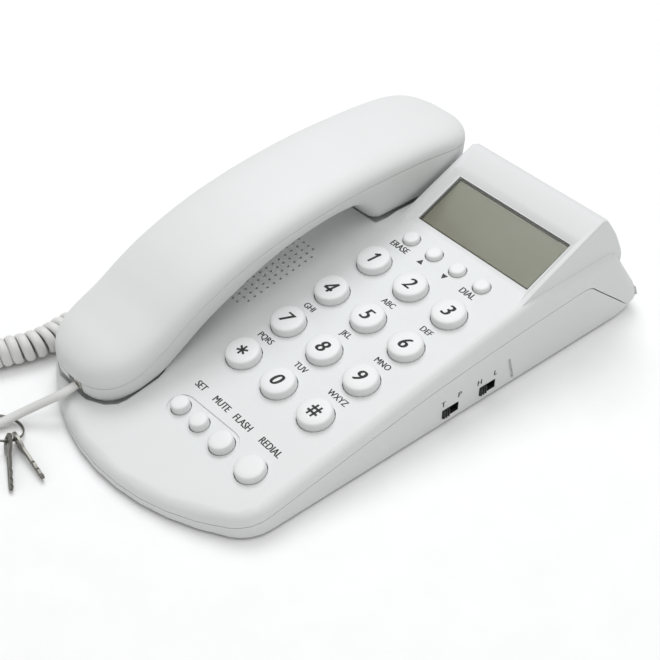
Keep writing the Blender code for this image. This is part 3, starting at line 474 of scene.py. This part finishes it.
def handset_half_section(y, upper, curves, sides=14):
    """Half a cross-section as (X, Z) points, from the right seam round to the left one."""
    seam, arch = curves
    half = max(0.6, handset_half_width(y))
    seam_z = value_at(seam, y)
    turns = [math.pi / 2 * (i / sides) ** 1.25 for i in range(sides + 1)]
    if upper:
        rise = HANDSET_TOP_RISE + MOUTH_RISE * min(1.0, max(0.0, (-30.0 - y) / 50.0))
        top = max(0.5, rise * end_share(y, 13.0))
        right = [(half * math.cos(a) ** 0.55,
                  seam_z + SEAM_GAP / 2 + top * math.sin(a) ** 0.8) for a in turns]
    else:
        below = max(0.5, (seam_z - handset_floor_z(y, arch)) * end_share(y, 12.0))
        right = [(half * math.cos(a) ** 0.34 * (1 - 0.1 * math.sin(a) ** 0.4),
                  seam_z - SEAM_GAP / 2 - below * math.sin(a) ** 0.4) for a in turns]
    right[-1] = (0.0, right[-1][1])
    return right + [(-x, z) for x, z in reversed(right[:-1])]


def handset_skin(name, upper, stations=96):
    """One of the handset's two shells: a lofted skin with its wall, and a softened edge along the seam."""
    curves = [[tuple(p)[:2] for p in smooth_through([(*q, 0) for q in line], 8)] for line in (SEAM, ARCH)]
    reach = HANDSET_REAR_Y - HANDSET_FRONT_Y
    bm = bmesh.new()
    rows = []
    for i in range(stations + 1):
        y = HANDSET_FRONT_Y + 0.05 + (reach - 0.1) * (0.5 - 0.5 * math.cos(math.pi * i / stations))
        rows.append([bm.verts.new((HANDSET_X + x, y, z)) for x, z in handset_half_section(y, upper, curves)])
    for a, b in zip(rows, rows[1:]):
        for k in range(len(a) - 1):
            bm.faces.new([a[k], a[k + 1], b[k + 1], b[k]])
    bm.faces.new(rows[0])
    bm.faces.new(rows[-1])
    bmesh.ops.recalc_face_normals(bm, faces=bm.faces)
    if sum(f.normal.z * f.calc_area() for f in bm.faces) * (1 if upper else -1) < 0:
        bmesh.ops.reverse_faces(bm, faces=bm.faces)
    skin = mesh_object(name, bm, 50)
    wall = skin.modifiers.new("wall", "SOLIDIFY")
    wall.thickness, wall.offset = HANDSET_WALL * MM, -1.0
    return bevelled(skin, 0.22, 60)


def hole_cutter(name, places, radius, depth):
    bm = bmesh.new()
    for x, y, z in places:
        add_part(bm, turned_bmesh([(radius, -depth), (radius, depth)], 20, Matrix.Translation((x, y, z))))
    return mesh_object(name, bm)


def handset(materials):
    for name, node, upper in (("handset_back", "handset_back_shell", True),
                              ("handset_face", "handset_face_shell", False)):
        skin = handset_skin(name, upper)
        bm = bmesh.new()
        add_block(bm, (PLUG_X - 4.2, -112.0, PLUG_Z - 2.8), (PLUG_X + 4.2, -96.5, PLUG_Z + 2.8))
        cut(skin, mesh_object("plug_hole", bm))
        if not upper:
            ear = [(HANDSET_X, RECEIVER_Y, EAR_FLOOR_Z)]
            for ring, count in ((5.5, 6), (10.0, 12)):
                turns = [2 * math.pi * i / count for i in range(count)]
                ear += [(HANDSET_X + ring * math.cos(a), RECEIVER_Y + ring * math.sin(a), EAR_FLOOR_Z)
                        for a in turns]
            cut(skin, hole_cutter("ear_holes", ear, 1.0, 5.0))
            mouth_z = deck_z(MICROPHONE_Y) - MOUTH_SINK
            mouth = [(HANDSET_X + x, MICROPHONE_Y, mouth_z) for x in (-4.0, 0.0, 4.0)]
            cut(skin, hole_cutter("mouth_holes", mouth, 0.8, 4.0))
        skin.data.shade_smooth()
        skin.data.set_sharp_from_angle(angle=math.radians(50))
        dressed(skin, node, "white_plastic", "handset", materials)


# ---------------------------------------------------------------- keys, buttons and print
def key_places():
    """Each keypad key's name, its character, X and Y, row by row from the front."""
    rows = ((("star", "*"), ("zero", "0"), ("hash", "#")), (("seven", "7"), ("eight", "8"), ("nine", "9")),
            (("four", "4"), ("five", "5"), ("six", "6")), (("one", "1"), ("two", "2"), ("three", "3")))
    for row, labels in enumerate(rows):
        for column, (label, character) in enumerate(labels):
            y = KEYPAD_Y + row * KEY_PITCH * math.cos(DECK_TILT)
            yield f"key_{label}", character, KEYPAD_X + (column - 1) * KEY_PITCH_X, y


def button(name, x, y, radius, height, materials):
    """A cap with a softly rounded crown and a slight draft, over its retaining flange."""
    soft = 1.15 if radius > 5 else 0.95
    profile = [(0, -4.4), (radius + 0.9, -4.4), (radius + 1.0, -4.3), (radius + 1.0, -3.4), (radius, -3.4),
               (radius - 0.02, height - soft - 0.05)]
    profile += fillet((radius - 0.05 - soft, height - soft), soft, 0, 78)
    profile += [(radius * 0.55, height + 0.02), (radius * 0.25, height + 0.045), (0, height + 0.05)]
    cap = mesh_object(f"{name}_cap", turned_bmesh(profile, 56 if radius > 5 else 40, on_deck(x, y)), 40)
    dressed(cap, name, "key_plastic", name, materials)


def inked(label, body, materials):
    """Gives a printed label its ink and its body."""
    label.data.materials.append(materials["print_ink"])
    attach(label, body)


def text_bmesh(text, height, slant):
    """A word as a thin solid, centred, with capitals of that height."""
    curve = bpy.data.curves.new("text", "FONT")
    curve.body = text
    curve.size = height / 0.72
    curve.shear = slant
    curve.extrude = PRINT_RISE
    curve.resolution_u = 4
    drawn = bpy.data.objects.new("text", curve)
    bpy.context.scene.collection.objects.link(drawn)
    bpy.context.view_layer.update()
    mesh = bpy.data.meshes.new_from_object(drawn.evaluated_get(bpy.context.evaluated_depsgraph_get()))
    bpy.data.objects.remove(drawn)
    bm = bmesh.new()
    bm.from_mesh(mesh)
    bpy.data.meshes.remove(mesh)
    middle = [(min(v.co[k] for v in bm.verts) + max(v.co[k] for v in bm.verts)) / 2 for k in range(2)]
    bmesh.ops.translate(bm, vec=(-middle[0], -middle[1], 0.0), verts=bm.verts)
    return bm


def print_on(name, text, place, height, body, materials, width=1.0, slant=0.0, bold=0.0):
    """A printed word, a hair proud of the surface. bold widens its strokes by that many mm."""
    bm = bmesh.new()
    for shift in ((-bold / 2, bold / 2) if bold else (0.0,)):
        word = text_bmesh(text, height, slant)
        fit = place @ Matrix.Translation((shift, 0, 0)) @ Matrix.Diagonal((width, 1.0, 1.0, 1.0))
        bmesh.ops.transform(word, matrix=fit, verts=word.verts)
        add_part(bm, word)
    inked(mesh_object(name, bm, 30), body, materials)


STROKES = {  # characters drawn with thick strokes, in a box 1 high and centred
    "1": [((0.10, -0.5), (0.10, 0.5)), ((0.12, 0.48), (-0.16, 0.24))],
    "4": [((0.16, -0.5), (0.16, 0.5)), ((0.18, 0.5), (-0.32, -0.2)), ((-0.34, -0.22), (0.36, -0.22))],
    "*": [((0.0, -0.4), (0.0, 0.4)), ((-0.35, -0.2), (0.35, 0.2)), ((-0.35, 0.2), (0.35, -0.2))],
    "#": [((-0.22, -0.48), (-0.12, 0.48)), ((0.12, -0.48), (0.22, 0.48)), ((-0.42, 0.17), (0.45, 0.17)),
          ((-0.45, -0.17), (0.42, -0.17))],
}


def strokes_on(name, character, place, height, thickness, body, materials, slant):
    """A character of straight strokes, printed like the others."""
    bm = bmesh.new()
    lean = Matrix(((1, slant, 0, 0), (0, 1, 0, 0), (0, 0, 1, 0), (0, 0, 0, 1)))
    for a, b in STROKES[character]:
        a, b = Vector((*a, 0)) * height, Vector((*b, 0)) * height
        along = Matrix.Translation(a) @ (b - a).to_track_quat("X", "Z").to_matrix().to_4x4()
        low, high = (0.0, -thickness / 2, -PRINT_RISE), ((b - a).length, thickness / 2, PRINT_RISE)
        add_block(bm, low, high, place @ lean @ along)
    inked(mesh_object(name, bm, 30), body, materials)


def arrow_on(name, place, points_up, materials):
    """A small printed triangle."""
    tip = 1.3 if points_up else -1.3
    bm = bmesh.new()
    corners = ((-1.5, -tip, 0), (1.5, -tip, 0), (0, tip, 0))
    face = bm.faces.new([bm.verts.new(place @ Vector(p)) for p in corners])
    moved_up(bm, [face], place.to_3x3() @ Vector((0, 0, 2 * PRINT_RISE)))
    inked(mesh_object(name, bm), "base", materials)


def keypad(materials):
    for name, character, x, y in key_places():
        button(name, x, y, KEY_RADIUS, KEY_HEIGHT, materials)
        place = on_deck(x, y, KEY_HEIGHT + 0.05)
        if character in STROKES:
            upright = character in "*#"
            strokes_on(f"{name}_print", character, place, 6.0, 0.95 if upright else 1.15, name, materials,
                       slant=0.0 if upright else 0.22)
        else:
            print_on(f"{name}_print", character, place, 5.9, name, materials, slant=0.22, bold=0.55)
    for i, name in enumerate(("erase_button", "up_button", "down_button", "call_button")):
        button(name, MENU_X + i * MENU_PITCH, MENU_Y, MENU_RADIUS, MENU_HEIGHT, materials)
    for name, x, radius, height in FUNCTION_KEYS:
        button(name, x, FUNCTION_Y, radius, height, materials)


def deck_print(materials):
    """The letters under the keys, the words by the buttons and the letters over the side switches."""
    letters = {(1, 3): "ABC", (2, 3): "DEF", (0, 2): "GHI", (1, 2): "JKL", (2, 2): "MNO",
               (0, 1): "PQRS", (1, 1): "TUV", (2, 1): "WXYZ"}
    for (column, row), text in letters.items():
        y = KEYPAD_Y + (row * KEY_PITCH - 11.2) * math.cos(DECK_TILT)
        place = on_deck(KEYPAD_X + (column - 1) * KEY_PITCH_X - 0.7, y)
        print_on(f"letters_{text}", text, place, 2.8, "base", materials, width=0.88, bold=0.22)
    words = (("ERASE", 2.4, 81.2), ("DIAL", 41.8, 81.2), ("SET", 1.5, -20.7), ("MUTE", 14.5, -20.7),
             ("FLASH", 27.5, -20.7), ("REDIAL", 44.2, -20.7))
    for text, x, along in words:
        place = on_deck(x, KEYPAD_Y + along * math.cos(DECK_TILT))
        print_on(f"word_{text}", text, place, 3.1, "base", materials, width=0.83, bold=0.26)
    for name, x, up in (("arrow_up", 15.0, True), ("arrow_down", 28.0, False)):
        arrow_on(name, on_deck(x, KEYPAD_Y + 81.2 * math.cos(DECK_TILT)), up, materials)
    side = Matrix(((0, 0, 1, SWITCH_X), (1, 0, 0, 0), (0, 1, 0, 0), (0, 0, 0, 1)))
    for text, y, z in (("T", 0.2, 11.4), ("P", 8.9, 11.7), ("H", 19.6, 11.4), ("L", 28.3, 11.7)):
        place = side @ Matrix.Translation((y, z, 0.0))
        print_on(f"mark_{text}", text, place, 2.7, "base", materials, bold=0.25)


# ---------------------------------------------------------------- window, switches, plugs, ring and keys
def on_window(x, along, depth):
    """The frame of a thing in the window's plane: along it from its front edge, and down into the pod."""
    y = RECESS_FRONT_Y + 0.4
    pod_there = deck_z(POD_FOOT_Y) + math.tan(POD_TILT) * (y - POD_FOOT_Y)
    turn = Matrix.Rotation(POD_TILT, 4, "X")
    edge = Matrix.Translation((0, y, pod_there - RECESS_DEPTH / math.cos(POD_TILT)))
    return edge @ turn @ Matrix.Translation((x, along, -depth))


def soft_piece(name, bm, node, slot_name, body, materials, soften=0.15):
    """A piece with its edges softened, which may stand in for a CAD node."""
    dressed(bevelled(mesh_object(name, bm), soften, 35), node, slot_name, body, materials)


def display(materials):
    """The liquid-crystal panel on its carrier, and a black strip along the window's left and top edges:
    painted shadow of the window's edge.
    """
    width = WINDOW_RIGHT - WINDOW_LEFT
    bm = bmesh.new()
    add_block(bm, (0.7, 1.2, -3.0), (width - 0.7, WINDOW_HEIGHT - 0.2, 0.0), on_window(WINDOW_LEFT, 0.0, 1.2))
    soft_piece("lcd_panel", bm, "lcd_module", "lcd_glass", "base", materials, 0.1)
    # A black strip on the left and top edges only: painted shadow, where the window's edge shades the panel
    # below it.
    bm = bmesh.new()
    place = on_window(WINDOW_LEFT, 0.5, 0.75)
    add_block(bm, (-0.22, 0.0, -0.35), (0.55, WINDOW_HEIGHT, 0.0), place)
    add_block(bm, (0.55, WINDOW_HEIGHT - 0.5, -0.35), (width, WINDOW_HEIGHT + 0.22, 0.0), place)
    soft_piece("window_edge_painted_shadow", bm, None, "black_plastic", "base", materials, 0.05)


def side_switches(materials):
    """Each knob: a ridged grip on a flat slide that closes its slot from inside, and the slot's lining."""
    for name, slot_y in SWITCH_SLOTS:
        y0, y1 = slot_y + 0.3, slot_y + 0.3 + KNOB_LENGTH
        bm = bmesh.new()
        add_block(bm, (61.95, y0, SWITCH_LOW + 0.3), (SWITCH_X + 0.45, y1, SWITCH_HIGH - 0.3))
        for k in range(3):
            y = y0 + 0.25 + k * 1.2
            add_block(bm, (SWITCH_X + 0.3, y, SWITCH_LOW + 0.35),
                      (SWITCH_X + 0.9, y + 0.5, SWITCH_HIGH - 0.35))
        add_block(bm, (61.75, y0 - 4.8, SWITCH_LOW - 0.9), (62.3, y1 + 5.1, SWITCH_HIGH + 0.9))
        soft_piece(name.replace("_knob", "_grip"), bm, name, "black_plastic", name, materials, 0.1)
        bm = bmesh.new()
        y0, y1 = slot_y, slot_y + SLOT_LENGTH
        for low, high in (((y0, SWITCH_LOW), (y0 + 0.2, SWITCH_HIGH)),
                          ((y1 - 0.2, SWITCH_LOW), (y1, SWITCH_HIGH)),
                          ((y0 + 0.2, SWITCH_LOW), (y1 - 0.2, SWITCH_LOW + 0.2)),
                          ((y0 + 0.2, SWITCH_HIGH - 0.2), (y1 - 0.2, SWITCH_HIGH))):
            add_block(bm, (62.5, *low), (SWITCH_X - 0.15, *high))
        soft_piece(name.replace("_knob", "_surround"), bm, None, "black_plastic", "base", materials, 0.03)


def plug(name, node, body, place, materials):
    """A clear modular plug: its body with four contact blades, a latch, and a narrow neck for the cord."""
    bm = bmesh.new()
    add_block(bm, (-3.8, 2.9, -2.4), (3.8, 9.3, 2.4), place)
    add_block(bm, (-2.1, 0.0, -1.7), (2.1, 3.0, 1.7), place)
    add_block(bm, (-1.5, 3.2, -2.9), (1.5, 8.6, -2.3), place)
    soft_piece(name, bm, node, "plug_plastic", body, materials, 0.2)
    bm = bmesh.new()
    for k in range(4):
        x = (k - 1.5) * 1.27
        add_block(bm, (x - 0.2, 6.6, 2.2), (x + 0.2, 9.1, 2.55), place)
    soft_piece(f"{name}_contacts", bm, None, "steel", body, materials, 0.04)


def ring_piece(materials):
    """The split ring: one wire wound twice."""
    normal = RING_SIDE.cross(RING_RISE)
    bm = bmesh.new()
    turns, steps, wire = 2.0, 96, 0.3
    rings = []
    for i in range(steps + 1):
        a = 2 * math.pi * turns * i / steps + 0.6
        outward = RING_SIDE * math.cos(a) + RING_RISE * math.sin(a)
        step_over = ease((i / steps - 0.44) / 0.12) * 0.74 - 0.37
        middle = RING_CENTRE + outward * RING_RADIUS + normal * step_over
        rings.append([bm.verts.new(middle + (outward * math.cos(b) + normal * math.sin(b)) * wire)
                      for b in (2 * math.pi * k / 8 for k in range(8))])
    for a, b in zip(rings, rings[1:]):
        for k in range(8):
            bm.faces.new([a[k], a[(k + 1) % 8], b[(k + 1) % 8], b[k]])
    bm.faces.new(rings[0])
    bm.faces.new(rings[-1])
    bmesh.ops.recalc_face_normals(bm, faces=bm.faces)
    dressed(mesh_object("split_ring", bm, 60), "key_ring", "key_nickel", "base", materials)


def lock_keys(materials):
    """Two flat keys: a rounded bow with its hole, a shoulder, and a grooved blade with cuts."""
    hang = RING_CENTRE + RING_SIDE * RING_RADIUS
    bow = [(-2.8, -1.3), (-2.4, -2.1), (-1.7, -2.7), (-0.6, -3.1), (0.8, -3.25), (2.6, -3.15), (4.0, -2.8),
           (5.1, -2.3), (5.8, -1.7), (6.6, -1.3)]
    cuts = [(20.8, -1.3), (22.0, -0.8), (22.9, 0.1), (21.7, 1.2), (20.4, 0.6), (18.8, 1.3), (17.9, 0.9),
            (17.2, 0.6), (15.4, 1.3), (14.4, 1.2), (13.4, 0.7), (11.4, 1.3)]
    outline = bow + cuts + [(x, -y) for x, y in reversed(bow)]
    for name, side, tip, facing in LOCK_KEYS:
        hole = hang + RING_RISE * side * KEY_SPACING
        along = (tip - hole).normalized()
        normal = (facing - along * facing.dot(along)).normalized()
        across = normal.cross(along)
        place = Matrix.Translation(hole) @ Matrix((along, across, normal)).transposed().to_4x4()
        bm = bmesh.new()
        face = bm.faces.new([bm.verts.new((x, y, -KEY_THICKNESS / 2)) for x, y in outline])
        moved_up(bm, [face], (0, 0, KEY_THICKNESS))
        bmesh.ops.transform(bm, matrix=place, verts=bm.verts)
        key = mesh_object(f"{name}_blade", bm)
        cut(key, mesh_object("hole", turned_bmesh([(1.6, -3.0), (1.6, 3.0)], 24, place)))
        for low, high in ((KEY_THICKNESS / 2 - 0.3, 2.0), (-2.0, 0.3 - KEY_THICKNESS / 2)):
            bm = bmesh.new()
            add_block(bm, (7.5, -0.75, low), (25.0, 0.0, high), place)
            cut(key, mesh_object("groove", bm))
        dressed(bevelled(key, 0.12, 50), name, "key_nickel", "base", materials)


def screws(materials):
    """Each base screw: a domed head with a cross recess, over its shank."""
    for number, (x, y) in enumerate(SCREWS, 1):
        profile = [(0, 1.72), (2.2, 1.72), (2.75, 1.95), (3.0, 2.4), (1.4, 2.41), (1.4, 10.5), (0, 11.6)]
        screw = mesh_object(f"screw_{number}", turned_bmesh(profile, 28, Matrix.Translation((x, y, 0))))
        for size in ((1.5, 0.32), (0.32, 1.5)):
            bm = bmesh.new()
            add_block(bm, (x - size[0], y - size[1], 1.0), (x + size[0], y + size[1], 2.2))
            cut(screw, mesh_object("recess", bm))
        screw.data.shade_smooth()
        screw.data.set_sharp_from_angle(angle=math.radians(35))
        dressed(screw, f"base_screw_{number}", "steel", "base", materials)


# ---------------------------------------------------------------- carried-over CAD nodes
def finish_nodes(materials):
    """Gives every CAD node its slot's material, and shades its rounded edges smooth by modifiers alone."""
    slots = {part["node"]: part["material_slot"] for part in frame["record"]["subparts"]}
    for name, obj in frame["nodes"].items():
        if obj.hide_render:
            continue
        obj.data.materials.clear()
        obj.data.materials.append(materials[slots[name]])
        obj.data.polygons.foreach_set("use_smooth", [True] * len(obj.data.polygons))
        weld = obj.modifiers.new("weld", "WELD")
        weld.merge_threshold = 0.002 * MM
        split = obj.modifiers.new("sharp_edges", "EDGE_SPLIT")
        split.split_angle = math.radians(38)
        split.use_edge_sharp = False
        obj.modifiers.new("flat_faces", "WEIGHTED_NORMAL").weight = 90


materials = make_materials()
camera_at((0.3173, -0.2674, 0.3633), (-0.5816, 0.4863, -0.6521), 72.55)
studio()
cord_piece(materials)
handset(materials)
keypad(materials)
deck_print(materials)
display(materials)
side_switches(materials)
plug("handset_plug", "handset_cord_plug", "handset", Matrix.Translation((PLUG_X, -101.9, PLUG_Z)), materials)
base_plug_place = Matrix.Translation(JACK) @ Matrix.Rotation(math.radians(-90), 4, "Z")
plug("base_plug", "base_cord_plug", "base", base_plug_place, materials)
ring_piece(materials)
lock_keys(materials)
screws(materials)
finish_nodes(materials)
